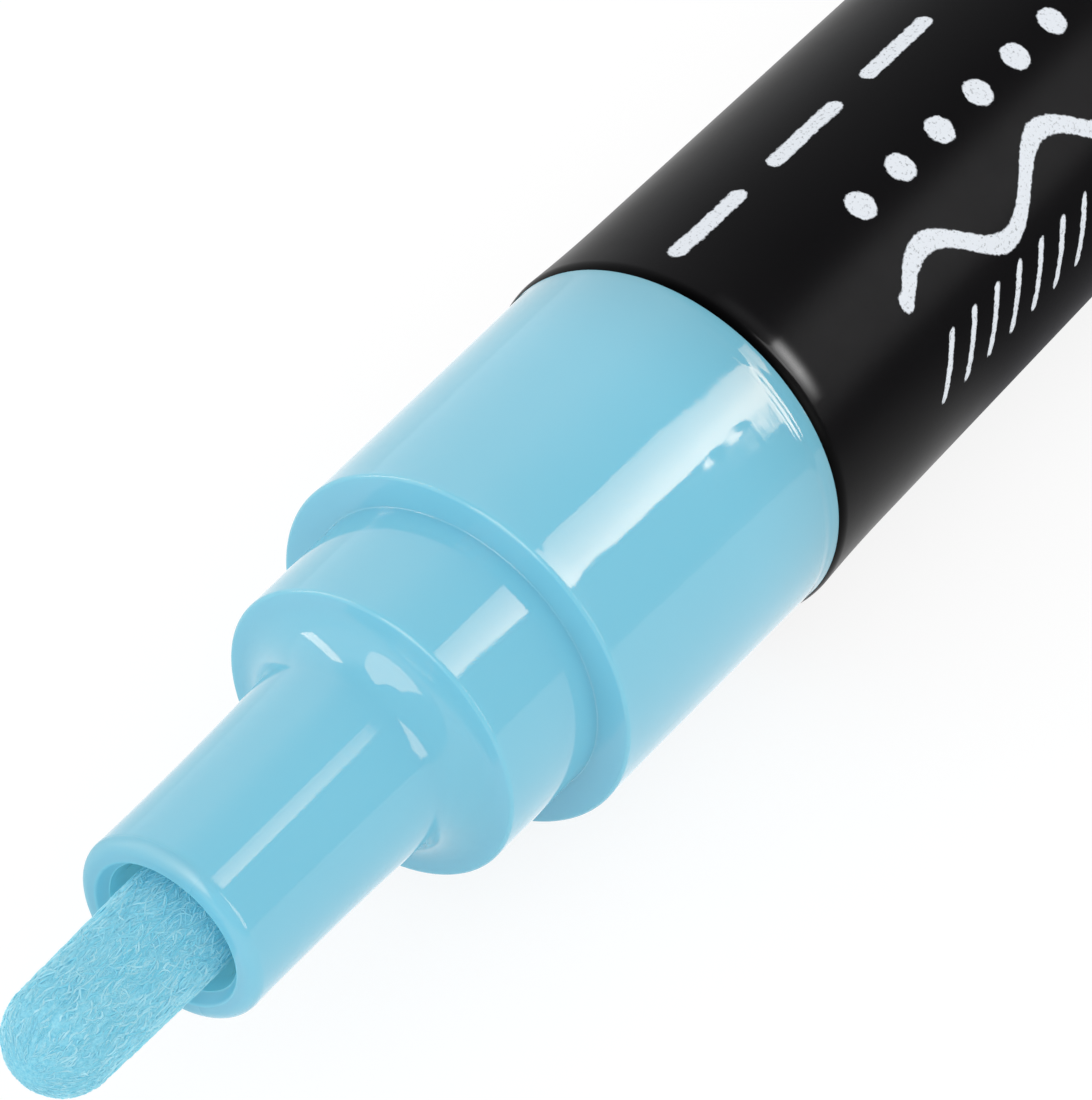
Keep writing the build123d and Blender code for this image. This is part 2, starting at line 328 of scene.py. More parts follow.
def printed_plastic():
    """Satin black skin with a fine grain, rubbed shiny on the right side of the lip. Painted shade blackens
    the lip's front edge. The print is a set of chalk strokes, each a signed distance in the station x
    and the arc, frayed by noise.
    """
    place, close = surface_material("printed_black_plastic")
    x, y, z = place.parts()
    arc = place.math("ARCTAN2", z, -1 * y) * barrel_radius

    def cell(start, pitch):
        return place.math("FLOORED_MODULO", x - start, pitch) - pitch / 2

    def length(first, second):
        return place.math("SQRT", first * first + second * second)

    wave = place.math("SINE", (x - print_front).larger(0.0) * (2 * pi / wave_length)) * wave_height
    to_wave = length((print_front - x).larger(0.0), arc - wave_place * barrel_radius - wave) - wave_half_width
    to_dot = length(cell(print_front + dot_pitch, dot_pitch), arc - dot_place * barrel_radius) - dot_radius
    hatch_arc = arc - hatch_place * barrel_radius
    hatch_start = print_front + hatch_slant * hatch_arc
    to_hatch = length((abs(hatch_arc) - hatch_half_length).larger(0.0), cell(hatch_start, hatch_pitch))
    to_hatch = (to_hatch - hatch_half_width).larger(hatch_start - x)
    dash_along = (abs(cell(print_front - dash_pitch, dash_pitch)) - dash_half_length).larger(0.0)
    to_dash = length(dash_along, arc - dash_place * barrel_radius) - dash_half_width
    marks = to_dot.larger(print_front - x).smaller(to_hatch).smaller(to_wave)
    marks = marks.smaller(to_dash.larger(print_front - dash_pitch - x)).larger(x - print_rear)
    frayed = (place.noise(chalk_grain, 4, 0.7) - 0.5) * 2 * ragged_edge
    ink = (0.5 - (marks + frayed) / stroke_edge).clamped()
    speckle = (place.noise(chalk_grain / 2, 3, 0.6) * speckle_contrast - speckle_level).clamped()
    ink = ink * (thin_ink + (1 - thin_ink) * speckle)
    skin = place.noise(skin_cloud, 3).blend(satin_black, worn_black)
    grain = place.noise(skin_grain, 2)
    aside = y / -barrel_radius
    rubbed = aside.ramp(*rubbed_start) * aside.ramp(*rubbed_end)

    def polish(station, half_width):
        off = (x - barrel_front - station) / half_width
        return rubbed * place.math("EXPONENT", -1 * off * off)

    line_coat = bead_line_coat * polish(bead_line, bead_line_half_width)
    gloss_coat = bead_gloss_coat * polish(bead_gloss, bead_gloss_half_width)
    # Painted shade: the base colour goes to black over the lip's front edge.
    front_shade = x.ramp(barrel_front + bead_shade_length, barrel_front)
    return close(
        base_color=front_shade.blend(ink.blend(skin, chalk_white), lip_painted_shade),
        roughness=satin_roughness + patch_roughness * place.noise(skin_patch, 3) + ink_roughness * ink,
        normal=(grain + ink_rise * ink).bump(skin_relief),
        specular_ior_level=0.03,
        coat_weight=line_coat + gloss_coat,
        coat_roughness=0.12,
    )


flare_share = np.linspace(0, 1, lip_points)
flare_station = barrel_front + lip_length - flare_share * (lip_length - bead_length)
flare_radius = barrel_radius + lip_flare * flare_share**2
bead_share = np.linspace(0, 1, lip_points)[1:]
bead_station = barrel_front + bead_length * (1 - bead_share)
rolled_off = np.maximum(1 - (bead_station - barrel_front) / bead_roll, 0) ** 2
bead_radius = barrel_radius + lip_flare + bead_rise * bead_share
bead_radius -= (lip_flare + bead_rise - bead_edge) * rolled_off
lip_line = list(zip(flare_station, flare_radius)) + list(zip(bead_station, bead_radius))
barrel_corners = [(barrel_front, barrel_bore, 0)]
barrel_corners += [(station, radius, 0) for station, radius in reversed(lip_line)]
barrel_corners += [(barrel_rear, barrel_radius, barrel_rear_rounding), (barrel_rear, barrel_bore, 0)]
barrel_tube = turned("barrel_tube", rounded_outline(barrel_corners), printed_plastic())
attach(barrel_tube, "marker")
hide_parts("barrel")

# Front section
# One glossy sky-blue moulding: grip, neck and nozzle, each stepped down from the last, with six ribs
# inside the nozzle that hold the nib. Its spigot is pressed into the barrel, and the grip shows faint sink
# marks of the moulding.
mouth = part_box("front_section")[0].x
spigot_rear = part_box("front_section")[1].x
grip_length = 0.01375
neck_length = 0.0052
grip_radius = 0.00798
grip_front_radius = 0.007752
grip_rim_length = 0.00035
grip_rim_rise = 0.00003
grip_edge_length = 0.0010
grip_edge_rise = 0.000026
neck_edge_length = 0.0008
neck_edge_rise = 0.000004
edge_points = 6
rim_points = 5
nozzle_points = 24
clear_of_arc = 1.4
rim_shade_length = 0.006
rim_shade_share = 0.2
# The depths of grooves, dents and sink marks are multiples of the gloss's relief.
groove_depths = (1.6, 20.0)
groove_stations = (barrel_front - 0.0010, barrel_front - 0.0006)
groove_half_widths = (0.00004, 0.0002)
dent_depth = 7.0
dent_stations = (barrel_front - 0.0032, barrel_front - 0.0049)
dent_angles = (radians(132.0), radians(132.4))
dent_half_length = 0.0005
dent_half_width = 0.0002
neck_radius = 0.006402
neck_front_radius = 0.006316
nozzle_waist = mouth + 0.00065
nozzle_waist_radius = 0.0039
nozzle_sweep = 2.7
shoulder_rounding = 0.00015
neck_root_rounding = 0.00006
neck_rounding = 0.00015
nozzle_cove = 0.0017
mouth_rounding = 0.00052
mouth_inner_rounding = 0.00015
mouth_bore = 0.003075
bevel_depth = 0.0004
bevel_bore = 0.00283
bevel_ring = 0.00003
bevel_painted_light_share = 0.4
guide_bore = 0.002775
rib_radius = 0.002275
rib_half_width = 0.00035
rib_count = 6
rib_setback = 0.0018
neck_bore = 0.004916
valve_bore = 0.0058
spigot_radius = 0.00685
spigot_rounding = 0.0004
chamber_wall = 0.0013
valve_stop_wall = 0.0015
neck_rear = barrel_front - grip_length
nozzle_rear = neck_rear - neck_length
chamber_front = nozzle_rear + chamber_wall
valve_stop = neck_rear + valve_stop_wall
sky_blue = (0.205, 0.585, 0.752, 1)
pale_blue = (0.222, 0.600, 0.765, 1)
warm_gloss = (1.0, 0.62, 0.38, 1)
no_light = (0, 0, 0, 1)
cloud_width = 0.007
ring_width = 0.00025
ring_stretch = (1, 0.02, 0.02)
haze_width = 0.0025
haze_relief = 0.4
scuff_width = 0.0006
scuff_stretch = (1, 4, 4)
shrink_width = 0.0013
shrink_stretch = (0.6, 1, 1)
shrink_depth = 9
gloss_relief = 0.0000012
gloss_roughness = 0.03
haze_roughness = 0.03
scuff_roughness = 0.02
worn_roughness = 0.42
bore_roughness = 0.3
film_roughness = 0.18
right_span = (0.2, 0.6)
side_span = (0.8, 0.9667)
bore_painted_light = (0.060, 0.180, 0.175, 1)
bore_painted_light_depth = 0.006
bore_edge = 0.00318
bore_blur = 0.00007
worn_length = 0.0007
worn_share = 0.08
cove_film_setback = 0.0008
cove_film_half_length = 0.0009


def glossy_plastic(name, deep, pale, front=False):
    """Glossy moulded skin: slow clouds of colour, faint rings from the turned mould, and fine handling marks.
    The front section's grip also waves a little, as thick walls do when they cool, has fine grooves and two
    small dents, each a bell curve, and is darkened towards the rim by painted shade, where it meets the black
    barrel. The mouth is worn dull and a little darker, a film of ink dulls the sides of the cove behind the
    nozzle, and painted light, an emission, glows in the bore, less on the mouth's bevel, in place of light
    that would come through the nozzle's wall.
    """
    place, close = surface_material(name)
    cloud = place.noise(cloud_width, 3)
    rings = place.stretched(ring_stretch).noise(ring_width, 3)
    haze = place.noise(haze_width, 4)
    scuffs = place.stretched(scuff_stretch).noise(scuff_width, 3)
    relief = rings + haze_relief * haze
    colour = cloud.blend(deep, pale)
    roughness = gloss_roughness + haze_roughness * haze + scuff_roughness * scuffs
    glow = no_light
    if front:
        x, y, z = place.parts()
        across = place.math("SQRT", y * y + z * z)

        def bell(*offsets):
            return place.math("EXPONENT", -1 * sum(offset * offset for offset in offsets))

        right_side = (-1 * y / across).ramp(*right_span)
        on_grip = x.ramp(neck_rear, neck_rear + grip_rim_length)
        relief = relief + on_grip * shrink_depth * place.stretched(shrink_stretch).noise(shrink_width, 1)
        for station, half_width, depth in zip(groove_stations, groove_half_widths, groove_depths):
            relief = relief - depth * right_side * bell((x - station) / half_width)
        for station, angle in zip(dent_stations, dent_angles):
            aside = (y - grip_radius * cos(angle)) / (dent_half_width * sin(angle))
            relief = relief - dent_depth * right_side * bell((x - station) / dent_half_length, aside)
        # Painted shade: the colour darkens towards the rim, next to the black barrel.
        rim_painted_shade = x.ramp(barrel_front - rim_shade_length, barrel_front)
        colour = (rim_painted_shade * rim_painted_shade * rim_shade_share).blend(colour, no_light)
        # Painted light: an emission makes the bore glow, fading with depth and weaker on the mouth's bevel.
        in_bore = across.ramp(bore_edge, bore_edge - bore_blur)
        past_bevel = across.ramp(bevel_bore, bevel_bore - bore_blur)
        lit = bevel_painted_light_share * in_bore + (1 - bevel_painted_light_share) * past_bevel
        glow = (lit * place.math("EXPONENT", (mouth - x) / bore_painted_light_depth)).blend(no_light, bore_painted_light)
        worn = x.ramp(mouth + worn_length, mouth + worn_length / 2) * (1 - right_side)
        colour = (worn * worn_share).blend(colour, no_light)
        at_side = (abs(y) / across).ramp(*side_span)
        filmed = at_side * bell((x - nozzle_rear + cove_film_setback) / cove_film_half_length)
        roughness = roughness + worn_roughness * worn + bore_roughness * in_bore + film_roughness * filmed
    return close(
        base_color=colour,
        roughness=roughness,
        normal=relief.bump(gloss_relief),
        emission_color=glow,
        emission_strength=1.0,
        specular_tint=warm_gloss,
        subsurface_weight=0.2,
        subsurface_radius=(0.7, 1.0, 1.0),
        subsurface_scale=0.0008,
    )


def guide_ribs(station, radius, angle):
    """Lowers the guide's bore to the nib along six ribs, where the arc from a rib's middle is under half
    its width.
    """
    to_rib = np.abs((angle * rib_count / (2 * pi) + 0.5) % 1 - 0.5) * 2 * pi / rib_count * rib_radius
    ribbed = (station > mouth + rib_setback) & (station < chamber_front)
    ribbed &= (np.abs(radius - guide_bore) < rib_half_width) & (to_rib < rib_half_width)
    return np.where(ribbed, rib_radius, radius)


def raised_edge(rear, front, edge_length, edge_rise):
    """Corners at the front of a slightly conical stretch between two (station, radius) pairs. The front rises
    by a parabola, as an edge does when the wall behind it shrinks.
    """
    share = np.linspace(0, 1, edge_points)
    station = front[0] + edge_length * (1 - share)
    cone = front[1] + (rear[1] - front[1]) * (station - front[0]) / (rear[0] - front[0])
    return list(zip(station, cone + edge_rise * share**2))


rim_share = np.linspace(0, 1, rim_points)
rim_station = barrel_front - grip_rim_length * rim_share
rim_radius = grip_radius - (grip_radius - grip_front_radius) * grip_rim_length / grip_length * rim_share
rim_radius += grip_rim_rise * (1 - rim_share) ** 2
nozzle_ends = nozzle_rear - clear_of_arc * nozzle_cove, mouth + clear_of_arc * mouth_rounding
nozzle_line = np.concatenate([[nozzle_rear], np.linspace(*nozzle_ends, nozzle_points), [mouth]])
nozzle_radii = nozzle_waist_radius + nozzle_sweep * (nozzle_line - nozzle_waist) ** 2
front_corners = [
    (spigot_rear, valve_bore, 0),
    (spigot_rear, spigot_radius, spigot_rounding),
    (barrel_front, spigot_radius, 0),
]
front_corners += [(station, radius, 0) for station, radius in zip(rim_station, rim_radius)]
grip_ends = (barrel_front, grip_radius), (neck_rear, grip_front_radius)
neck_ends = (neck_rear, neck_radius), (nozzle_rear, neck_front_radius)
grip_edge = raised_edge(*grip_ends, grip_edge_length, grip_edge_rise)
neck_edge = raised_edge(*neck_ends, neck_edge_length, neck_edge_rise)
front_corners += [(station, radius, 0) for station, radius in grip_edge[:-1]]
front_corners += [grip_edge[-1] + (shoulder_rounding,), (neck_rear, neck_radius, neck_root_rounding)]
front_corners += [(station, radius, 0) for station, radius in neck_edge[:-1]]
front_corners += [neck_edge[-1] + (neck_rounding,), (nozzle_rear, nozzle_radii[0], nozzle_cove)]
front_corners += [(station, radius, 0) for station, radius in zip(nozzle_line[1:-1], nozzle_radii[1:-1])]
front_corners += [
    (mouth, nozzle_radii[-1], mouth_rounding),
    (mouth, mouth_bore, mouth_inner_rounding),
    (mouth + bevel_depth, bevel_bore, 0),
    (mouth + bevel_depth + bevel_ring, guide_bore, 0),
    (chamber_front, guide_bore, 0),
    (chamber_front, neck_bore, 0),
    (valve_stop, neck_bore, 0),
    (valve_stop, valve_bore, 0),
]
front_plastic = glossy_plastic("front_blue_plastic", sky_blue, pale_blue, front=True)
front_moulding = turned("front_moulding", rounded_outline(front_corners), front_plastic, carve=guide_ribs)
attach(front_moulding, "marker")
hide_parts("front_section")

# Ink valve
# A seat cup, a plunger and a holed retainer, all moulded in natural white acetal, and a spring of
# stainless wire between them. The nib pushes the plunger off its seat and the spring shuts it again.
spring_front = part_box("valve_spring")[0].x
spring_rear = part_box("valve_spring")[1].x
spring_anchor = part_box("spring_retainer")[0].x
plunger_head_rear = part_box("valve_plunger")[0].x + 0.00733
spring_turns = 6
spring_radius = 0.00185
wire_radius = 0.00025
wire_sides = 12
steps_per_turn = 48
acetal_white = (0.76, 0.76, 0.72, 1)
acetal_shade = (0.70, 0.70, 0.66, 1)
acetal_cloud = 0.002
acetal_patch = 0.0006
acetal_grain = 0.0002
acetal_relief = 0.000002
acetal_roughness = 0.34
acetal_spread = 0.1
wire_grey = (0.50, 0.50, 0.51, 1)
wire_dark = (0.36, 0.36, 0.38, 1)
die_stretch = (2, 40, 1)
die_line_width = 0.7
die_relief = 0.000001
die_roughness = 0.16
wire_roughness = 0.22


def acetal():
    """Natural white acetal, slightly waxy, with faint flow clouds."""
    place, close = surface_material("natural_acetal")
    cloud = place.noise(acetal_cloud, 3)
    return close(
        base_color=cloud.blend(acetal_white, acetal_shade),
        roughness=acetal_roughness + acetal_spread * place.noise(acetal_patch, 2),
        normal=place.noise(acetal_grain, 2).bump(acetal_relief),
        subsurface_weight=0.15,
        subsurface_radius=(1.0, 0.9, 0.8),
        subsurface_scale=0.001,
    )


def drawn_wire():
    """Stainless wire with fine lines from the drawing die, which run along the wire."""
    place, close = surface_material("drawn_steel_wire")
    along = place.add("ShaderNodeUVMap", {"uv_map": "wire"})
    lines = along.stretched(die_stretch).noise(die_line_width, 3)
    return close(
        base_color=lines.blend(wire_dark, wire_grey),
        roughness=wire_roughness + die_roughness * lines,
        normal=lines.bump(die_relief),
        metallic=1.0,
    )


def swept_tube(name, path, radius, sides, material):
    """Tube of circles along a path: each ring stands square to the path, turned from the axis outwards."""
    forward = np.gradient(path, axis=0)
    forward /= np.linalg.norm(forward, axis=1, keepdims=True)
    outward = path * [0, 1, 1]
    outward -= (outward * forward).sum(1, keepdims=True) * forward
    outward /= np.linalg.norm(outward, axis=1, keepdims=True)
    across = np.cross(forward, outward)
    angle = np.arange(sides) * 2 * pi / sides
    ring = np.cos(angle)[None, :, None] * outward[:, None] + np.sin(angle)[None, :, None] * across[:, None]
    points = (path[:, None] + radius * ring).reshape(-1, 3)
    index = np.arange(len(path) * sides).reshape(len(path), sides)
    around = np.concatenate([index, index[:, :1]], axis=1)
    quads = np.stack([around[:-1, :-1], around[:-1, 1:], around[1:, 1:], around[1:, :-1]], -1).reshape(-1, 4)
    caps = np.stack([index[0, ::-1], index[-1]])
    return mesh_object(name, points, [quads, caps], material)


coil_share = np.linspace(0, 1, spring_turns * steps_per_turn + 1)
coil_angle = coil_share * spring_turns * 2 * pi
coil_path = np.stack(
    [
        spring_front + wire_radius + coil_share * (spring_rear - spring_front - 2 * wire_radius),
        spring_radius * np.cos(coil_angle),
        spring_radius * np.sin(coil_angle),
    ],
    -1,
)
spring_wire = swept_tube("spring_wire", coil_path, wire_radius, wire_sides, drawn_wire())
wire_uv = spring_wire.data.uv_layers.new(name="wire")
wire_loops = np.zeros(len(spring_wire.data.loops), np.int32)
spring_wire.data.loops.foreach_get("vertex_index", wire_loops)
wire_uv.data.foreach_set(
    "uv",
    np.stack([wire_loops // wire_sides / steps_per_turn, wire_loops % wire_sides / wire_sides], -1)
    .astype(np.float32)
    .ravel(),
)
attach(spring_wire, "marker")
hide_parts("valve_spring")
plunger_travel = next(joint for joint in frame["joints"] if joint["name"] == "plunger_lift")["range_m"][1]
spring_kept = 1 - plunger_travel / (spring_anchor - plunger_head_rear)
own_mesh(spring_wire)
valve_acetal = acetal()
for node in ("valve_seat", "valve_plunger", "spring_retainer"):
    frame["nodes"][node].data.materials.clear()
    frame["nodes"][node].data.materials.append(valve_acetal)

# Nib
# A rod of acrylic fibres bonded together and ground to a bullet end, soaked in the blue ink. Loose
# fibres stand out of the ground surface, most of them along the rod.
nib_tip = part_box("nib")[0].x
nib_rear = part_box("nib")[1].x
nib_radius = 0.002215
nib_end_radius = 0.002094
nib_taper = radians(1.25)
nib_chamfer = 0.0004
felt_depth = 0.00007
felt_step = 0.00006
streak_wander = 0.02
wander_grid = (50, 12)
streak_grid = (56, 96)
pit_grid = (300, 120)
dip_shares = (0.2, 0.55, 0.25)
least_core = 0.4
streak_width = 0.00016
streak_stretch = (0.22, 1, 1)
streak_share = 1.5
pit_width = 0.00009
pit_share = 1.6
pit_relief = 0.8
felt_level = 1.05
felt_relief = 0.00004
felt_roughness = 0.62
pit_roughness = 0.2
ball_points = 60
rod_points = 40
nib_seed = 11
fibre_count = 2600
fibre_points = 8
fibre_sides = 4
fibre_radii = (0.000026, 0.000050)
fibre_lengths = (0.0007, 0.0024)
fibre_zone = 0.0085
fibre_crowding = 1.25
fibre_slant = 0.36
fibre_curl = 1.1
fibre_wiggle = 0.55
fibre_rises = (0.35, 1)
fibre_ends = (0.04, 0.96)
fibre_tip_gap = 0.00006
tip_zone = 0.0025
tip_share = 0.35
tint_bias = 1.5
fleck_width = 0.0002
fleck_tint = 0.4
fleck_roughness = 0.2
fibre_roughness = 0.4
fibre_reach = 0.00003
felt_deep = (0.105, 0.500, 0.690, 1)
felt_pale = (0.300, 0.700, 0.835, 1)
# Painted light: a faint blue emission that lifts the nib's shade.
nib_painted_fill_light = (0.008, 0.022, 0.026, 1)
fibre_deep = (0.200, 0.690, 0.870, 1)
fibre_pale = (0.420, 0.840, 0.950, 1)


def nib_outline_radius(station):
    """Radius of the nib at stations behind its tip: a ball end that runs tangent into a slight taper, then
    a rod.
    """
    behind = np.maximum(station - nib_tip, 0)
    ball_end = nib_end_radius * (1 - sin(nib_taper))
    ball = np.sqrt(np.maximum(nib_end_radius**2 - (nib_end_radius - behind) ** 2, 0))
    taper = nib_end_radius * cos(nib_taper) + (behind - ball_end) * tan(nib_taper)
    return np.where(behind < ball_end, ball, np.minimum(taper, nib_radius))


def smooth_noise(generator, along, around, rows, columns):
    """Smooth random heights from 0 to 1 on a grid that wraps round: a coarse random grid, joined up by
    cosines.
    """
    coarse = generator.random((rows + 1, columns))
    row = np.clip(along, 0, 1) * (rows - 1e-6)
    column = around * columns
    i = row.astype(int)
    j = column.astype(int)
    u = (1 - np.cos((row - i) * pi)) / 2
    v = (1 - np.cos((column - j) * pi)) / 2
    low = coarse[i, j % columns] * (1 - v) + coarse[i, (j + 1) % columns] * v
    high = coarse[i + 1, j % columns] * (1 - v) + coarse[i + 1, (j + 1) % columns] * v
    return low * (1 - u) + high * u


def felt():
    """Wet bonded fibre: pale streaks along the rod over a deeper blue, rough, with a fine nap."""
    place, close = surface_material("ink_soaked_felt")
    streaks = place.stretched(streak_stretch).noise(streak_width, 4, 0.6)
    pits = place.noise(pit_width, 3)
    depth = (streak_share * streaks + pit_share * pits - felt_level).clamped()
    return close(
        base_color=depth.blend(felt_deep, felt_pale),
        roughness=felt_roughness + pit_roughness * pits,
        normal=(streaks + pit_relief * pits).bump(felt_relief),
        # Painted light: a faint blue emission lifts the felt's shaded parts.
        emission_color=nib_painted_fill_light,
        emission_strength=1.0,
        subsurface_weight=0.2,
        subsurface_radius=(0.5, 1.0, 1.0),
        subsurface_scale=0.0003,
    )


def fibre():
    """Single acrylic fibres, each with its own share of ink, a little shiny."""
    place, close = surface_material("loose_fibre")
    tint = place.add("ShaderNodeAttribute", {"attribute_name": "tint"}, None, output="Fac")
    fleck = place.noise(fleck_width, 2)
    tint = (tint * (1 - fleck_tint / 2 + fleck_tint * fleck)).clamped()
    return close(
        base_color=tint.blend(fibre_deep, fibre_pale),
        roughness=fibre_roughness + fleck_roughness * fleck,
        specular_ior_level=0.25,
        # Painted light: a faint blue emission lifts the fibres' shaded parts.
        emission_color=nib_painted_fill_light,
        emission_strength=1.0,
        subsurface_weight=0.3,
        subsurface_radius=(0.5, 1.0, 1.0),
        subsurface_scale=0.0006,
    )


def fibre_strands(name, generator, material):
    """Thin four-sided tubes laid on the nib: each starts at a random place, runs along the rod at its own
    slant, bends by its own curl, and dips into the felt at both ends.
    """
    share = np.linspace(0, 1, fibre_points)[None, :]
    column = (fibre_count, 1)
    start = nib_tip + fibre_zone * generator.random(column) ** fibre_crowding
    turn = 2 * pi * generator.random(column)
    length = fibre_lengths[0] + (fibre_lengths[1] - fibre_lengths[0]) * generator.random(column) ** 2
    length *= np.clip((start - nib_tip) / tip_zone, tip_share, 1)
    slant = generator.normal(0, fibre_slant, column)
    curl = generator.normal(0, fibre_curl, column)
    wiggle = generator.normal(0, fibre_wiggle, column)
    bend = slant + curl * (share - 0.5) + wiggle * np.sin(share * 2 * pi + turn)
    step = length / (fibre_points - 1)
    ahead = np.cumsum(np.cos(bend), axis=1) * step
    aside = np.cumsum(np.sin(bend), axis=1) * step
    station = np.maximum(start + ahead, nib_tip + fibre_tip_gap)
    base = nib_outline_radius(station)
    angle = turn + aside / np.maximum(base, nib_radius / 3)
    rise = np.sin(share * pi) * generator.uniform(*fibre_rises, column)
    thickness = generator.uniform(*fibre_radii, column) * np.sqrt(np.sin(np.clip(share, *fibre_ends) * pi))
    height = base - felt_depth + rise * (felt_depth + fibre_reach) - thickness
    path = np.stack([station, height * np.cos(angle), height * np.sin(angle)], -1)
    forward = np.gradient(path, axis=1)
    forward /= np.maximum(np.linalg.norm(forward, axis=2, keepdims=True), 1e-12)
    outward = np.stack([np.zeros_like(angle), np.cos(angle), np.sin(angle)], -1)
    across = np.cross(forward, outward)
    side = np.arange(fibre_sides) * 2 * pi / fibre_sides
    ring = np.cos(side)[:, None] * outward[:, :, None] + np.sin(side)[:, None] * across[:, :, None]
    points = path[:, :, None] + thickness[:, :, None, None] * ring
    index = np.arange(points[..., 0].size).reshape(fibre_count, fibre_points, fibre_sides)
    around = np.concatenate([index, index[:, :, :1]], axis=2)
    quads = np.stack([around[:, :-1, :-1], around[:, :-1, 1:], around[:, 1:, 1:], around[:, 1:, :-1]], -1)
    caps = np.concatenate([index[:, 0, ::-1], index[:, -1]])
    piece = mesh_object(name, points.reshape(-1, 3), [quads.reshape(-1, 4), caps], material)
    tint = piece.data.attributes.new("tint", "FLOAT", "POINT")
    shades = np.repeat(generator.random(fibre_count) ** tint_bias, fibre_points * fibre_sides)
    tint.data.foreach_set("value", shades.astype(np.float32))
    return piece


nib_random = np.random.default_rng(nib_seed)
ball_angle = np.linspace(0, pi / 2 - nib_taper, ball_points)
nib_stations = np.concatenate(
    [
        nib_tip + nib_end_radius * (1 - np.cos(ball_angle)),
        np.arange(nib_tip + nib_end_radius, nib_tip + fibre_zone, felt_step),
        np.linspace(nib_tip + fibre_zone, nib_rear - nib_chamfer, rod_points),
    ]
)
nib_outline = np.stack([nib_stations, nib_outline_radius(nib_stations)], -1)
nib_end = np.array([[nib_rear, nib_radius - nib_chamfer], [nib_rear, 0]])
nib_outline = np.concatenate([nib_outline, nib_end])


def ground_felt(station, radius, angle):
    """Lowers the nib's surface by small grooves: streaks that wander along the rod and finer pits, down to
    the felt's depth.
    """
    along = (station - nib_tip) / (nib_rear - nib_tip)
    around = angle / (2 * pi)
    wander = streak_wander * smooth_noise(nib_random, along, around, *wander_grid)
    streaks = smooth_noise(nib_random, along, around + wander, *streak_grid)
    pits = smooth_noise(nib_random, along, around + wander, *pit_grid)
    dip = felt_depth * (dip_shares[0] + dip_shares[1] * streaks + dip_shares[2] * pits)
    return np.where(station < nib_rear - nib_chamfer, np.maximum(radius - dip, radius * least_core), radius)


nib_rod = turned("nib_rod", nib_outline, felt(), closed=False, carve=ground_felt)
fibre_skin = fibre()
nib_fibres = [fibre_strands("nib_fibres_" + layer, nib_random, fibre_skin) for layer in ("low", "high")]
for piece in [nib_rod] + nib_fibres:
    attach(piece, "nib")
    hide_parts("nib")

# Mixing ball
# A polished stainless ball, loose in the ink, which stirs the pigment when the marker is shaken.
# It runs along the barrel between the ink valve and the tail plug.
ball_bright = (0.62, 0.62, 0.63, 1)
ball_dull = (0.48, 0.48, 0.50, 1)
rattle_width = 0.00025
rattle_relief = 0.0000015
rattle_roughness = 0.14
ball_roughness = 0.08


def polished_ball():
    """Polished steel with fine rattle marks."""
    place, close = surface_material("polished_steel")
    marks = place.noise(rattle_width, 4, 0.65)
    return close(
        base_color=marks.blend(ball_dull, ball_bright),
        roughness=ball_roughness + rattle_roughness * marks,
        normal=marks.bump(rattle_relief),
        metallic=1.0,
    )


ball_node = frame["nodes"]["mixing_ball"]
ball_node.data.materials.clear()
ball_node.data.materials.append(polished_ball())

# Tail plug
# A sky-blue moulding that closes the barrel's rear end: a hollow spigot, a thin flange that shows behind
# the barrel, and a post the size of the neck for the cap.
plug_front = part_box("tail_plug")[0].x
post_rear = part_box("tail_plug")[1].x
cap_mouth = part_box("cap_shell")[0].x
flange_rounding = 0.00035
plug_end_wall = 0.0014
plug_corners = [
    (plug_front, valve_bore, 0),
    (plug_front, spigot_radius, spigot_rounding),
    (barrel_rear, spigot_radius, 0),
    (barrel_rear, barrel_radius, flange_rounding),
    (cap_mouth, barrel_radius, flange_rounding),
    (cap_mouth, neck_radius, neck_root_rounding),
    (post_rear, neck_front_radius, neck_rounding),
    (post_rear, 0, 0),
    (post_rear - plug_end_wall, 0, 0),
    (post_rear - plug_end_wall, neck_bore, 0),
    (cap_mouth, neck_bore, 0),
    (barrel_rear, valve_bore, 0),
]
plug_start = plug_corners.index((post_rear - plug_end_wall, 0, 0))
plug_outline = rounded_outline(plug_corners[plug_start:] + plug_corners[:plug_start], closed=False)
sky_plastic = glossy_plastic("sky_blue_plastic", sky_blue, pale_blue)
plug_moulding = turned("plug_moulding", plug_outline, sky_plastic, closed=False)
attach(plug_moulding, "marker")
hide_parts("tail_plug")

# Cap
# A sky-blue shell with a slight draft, pushed on the tail plug's post while the marker is in use, and a
# natural white cup pressed into it, whose lip seals round the nozzle.
cap_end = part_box("cap_shell")[1].x
liner_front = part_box("cap_liner")[0].x
liner_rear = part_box("cap_liner")[1].x
cap_radius = 0.00816
cap_end_radius = 0.007908
cap_bore = 0.006462
cap_mouth_rounding = 0.0003
cap_end_rounding = 0.0014
liner_bore = 0.005962
liner_radius = 0.005912
liner_inner = 0.005012
liner_lip_bore = 0.00418
liner_lip_length = 0.0016
liner_lip_rounding = 0.0006
liner_wall = 0.0009
liner_end_wall = 0.001
liner_white_blue_cast = (0.70, 0.75, 0.76, 1)
liner_grey_blue_cast = (0.62, 0.69, 0.71, 1)
liner_cloud = 0.003
liner_patch = 0.0008
liner_grain = 0.0003
liner_relief = 0.000003
liner_roughness = 0.42
liner_spread = 0.1


def waxy_liner():
    """Natural polyethylene, waxy, with a painted blue cast for light from the shell round it."""
    place, close = surface_material("natural_polyethylene")
    cloud = place.noise(liner_cloud, 3)
    return close(
        # Painted light: both tones carry a blue cast for light from the blue shell.
        base_color=cloud.blend(liner_white_blue_cast, liner_grey_blue_cast),
        roughness=liner_roughness + liner_spread * place.noise(liner_patch, 3),
        normal=place.noise(liner_grain, 2).bump(liner_relief),
        subsurface_weight=0.3,
        subsurface_radius=(1.0, 1.0, 1.0),
        subsurface_scale=0.0015,
    )


